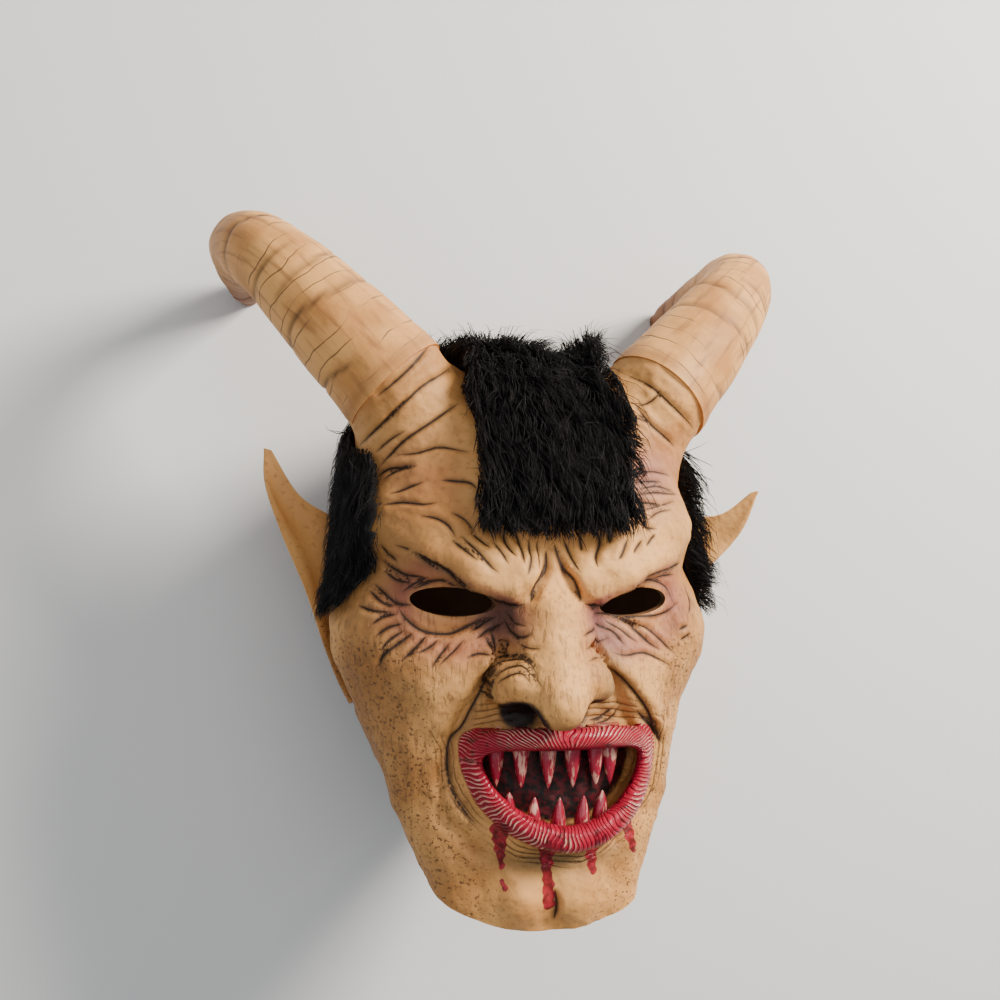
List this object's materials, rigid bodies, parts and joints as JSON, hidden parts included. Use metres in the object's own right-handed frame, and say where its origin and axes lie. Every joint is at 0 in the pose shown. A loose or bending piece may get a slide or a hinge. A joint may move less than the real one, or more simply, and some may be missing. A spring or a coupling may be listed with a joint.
{
  "type": "krampus mask",
  "caption": "Over-the-head folklore demon mask with curved horns, pointed ears, a fanged grimace and black fake-fur panels, worn over the whole head or laid on its back.",
  "frame": {"origin": "under the middle of the mask's outline, on the plane that it lies on", "axes": "+Y from the chin towards the crown and horns, +Z out of the face, +X towards the right-hand ear as seen by somebody who faces the mask"},
  "size_m": [0.3018, 0.3374, 0.2167],
  "materials": {
    "latex": "matt latex, hand painted in tan with brown washes and red lips",
    "fur": "short-pile fake fur"
  },
  "bodies": {
    "root": {"latex_mask": "latex", "fur_crown_strip": "fur", "fur_side_left": "fur", "fur_side_right": "fur"}
  },
  "joints": []
}
